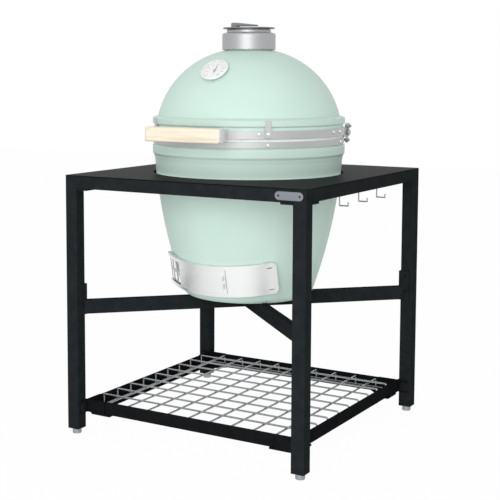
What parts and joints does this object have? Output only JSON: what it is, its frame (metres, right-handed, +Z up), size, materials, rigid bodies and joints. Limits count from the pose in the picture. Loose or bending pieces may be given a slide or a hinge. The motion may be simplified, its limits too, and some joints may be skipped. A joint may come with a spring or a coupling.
{
  "type": "kamado grill table",
  "caption": "Ceramic kamado grill with a hinged dome, wooden handle, top vent and sliding draft door, standing in a square dark steel table with a wire shelf, levelling feet and tool hooks.",
  "frame": {"origin": "on the floor, under the middle of the table", "axes": "+Z up; -Y is the front, where the handle and draft door are; +X is the right side, where the tool hooks are"},
  "size_m": [0.76, 0.7626, 1.1829],
  "materials": {
    "powder_coat": "satin",
    "top_coat": "satin",
    "black_plastic": "matt",
    "dark_steel": "satin",
    "zinc": "satin",
    "stainless": "brushed",
    "wire_chrome": "polished",
    "mint_glaze": "gloss",
    "fireclay": "matt",
    "cast_iron": "matt",
    "cast_cap": "satin",
    "pine": "satin",
    "felt": "matt",
    "glass": "clear",
    "dial_white": "satin",
    "needle_red": "satin"
  },
  "bodies": {
    "table": {"leg_front_left": "powder_coat", "leg_front_right": "powder_coat", "leg_back_left": "powder_coat", "leg_back_right": "powder_coat", "rail_front": "powder_coat", "rail_back": "powder_coat", "rail_left": "powder_coat", "rail_right": "powder_coat", "corner_plates": "powder_coat", "cross_bar_long": "powder_coat", "cross_bar_halves": "powder_coat", "cross_brackets": "powder_coat", "shelf_rail_front": "powder_coat", "shelf_rail_back": "powder_coat", "shelf_rail_left": "powder_coat", "shelf_rail_right": "powder_coat", "shelf_corner_brackets": "powder_coat", "table_top": "top_coat", "leg_end_caps": "black_plastic", "shelf_bolts": "black_plastic", "hinge_arms_lower": "dark_steel", "hinge_pin": "dark_steel", "hinge_springs": "dark_steel", "cross_bolts": "stainless", "name_plate": "stainless", "name_plate_screws": "stainless", "tool_hooks": "stainless", "lower_band": "stainless", "lower_band_bolts": "stainless", "draft_frame": "stainless", "base_shell": "mint_glaze", "fire_box": "fireclay", "fire_ring": "fireclay", "fire_grate": "cast_iron", "base_gasket": "felt"},
    "lid": {"dome_shell": "mint_glaze", "dome_gasket": "felt", "upper_band": "stainless", "upper_band_bolts": "stainless", "lid_clips": "stainless", "hinge_arms_upper": "dark_steel", "handle_brackets": "stainless", "handle_grip": "pine", "handle_caps": "stainless", "vent_base": "cast_cap", "vent_pin": "stainless", "thermometer_case": "stainless", "thermometer_dial": "dial_white", "thermometer_glass": "glass"},
    "foot_front_left": {"foot_front_left": "zinc"},
    "foot_front_right": {"foot_front_right": "zinc"},
    "foot_back_left": {"foot_back_left": "zinc"},
    "foot_back_right": {"foot_back_right": "zinc"},
    "shelf_grid": {"shelf_grid": "wire_chrome"},
    "cooking_grid": {"cooking_grid": "stainless"},
    "vent_plate": {"vent_plate": "cast_cap"},
    "vent_cover": {"vent_cover": "cast_cap"},
    "thermometer_needle": {"thermometer_needle": "needle_red"},
    "draft_door": {"draft_door": "stainless"},
    "draft_screen": {"draft_screen": "stainless"}
  },
  "joints": [
    {"name": "lid_hinge", "type": "hinge", "parent": "table", "child": "lid", "pos_m": [0, 0.3, 0.8558], "axis": [-1, 0, 0], "range_deg": [0, 65], "stiffness_Nm_per_rad": 55, "springref_deg": 64.97},
    {"name": "vent_cover_swing", "type": "hinge", "parent": "lid", "child": "vent_cover", "pos_m": [0, 0.069, 1.166], "axis": [0, 0, 1], "range_deg": [0, 100]},
    {"name": "vent_plate_turn", "type": "hinge", "parent": "lid", "child": "vent_plate", "pos_m": [0, 0, 1.162], "axis": [0, 0, 1], "range_deg": [0, 40]},
    {"name": "thermometer_turn", "type": "hinge", "parent": "lid", "child": "thermometer_needle", "pos_m": [0, -0.1886, 1.04156], "axis": [0, 0.6725, -0.7401], "range_deg": [-135, 135], "stiffness_Nm_per_rad": 0.0005},
    {"name": "draft_door_slide", "type": "hinge", "parent": "table", "child": "draft_door", "pos_m": [0, 0.02002, 0.51121], "axis": [0, 0.2164, -0.9763], "range_deg": [0, 34]},
    {"name": "draft_screen_slide", "type": "hinge", "parent": "table", "child": "draft_screen", "pos_m": [0, 0.02002, 0.51121], "axis": [0, -0.2164, 0.9763], "range_deg": [0, 34]},
    {"name": "shelf_grid_lift", "type": "slide", "parent": "table", "child": "shelf_grid", "axis": [0, 0, 1], "range_m": [0, 0.1]},
    {"name": "cooking_grid_lift", "type": "slide", "parent": "table", "child": "cooking_grid", "axis": [0, 0, 1], "range_m": [0, 0.06]},
    {"name": "foot_level_front_left", "type": "slide", "parent": "table", "child": "foot_front_left", "axis": [0, 0, -1], "range_m": [0, 0.015]},
    {"name": "foot_level_front_right", "type": "slide", "parent": "table", "child": "foot_front_right", "axis": [0, 0, -1], "range_m": [0, 0.015]},
    {"name": "foot_level_back_left", "type": "slide", "parent": "table", "child": "foot_back_left", "axis": [0, 0, -1], "range_m": [0, 0.015]},
    {"name": "foot_level_back_right", "type": "slide", "parent": "table", "child": "foot_back_right", "axis": [0, 0, -1], "range_m": [0, 0.015]}
  ]
}
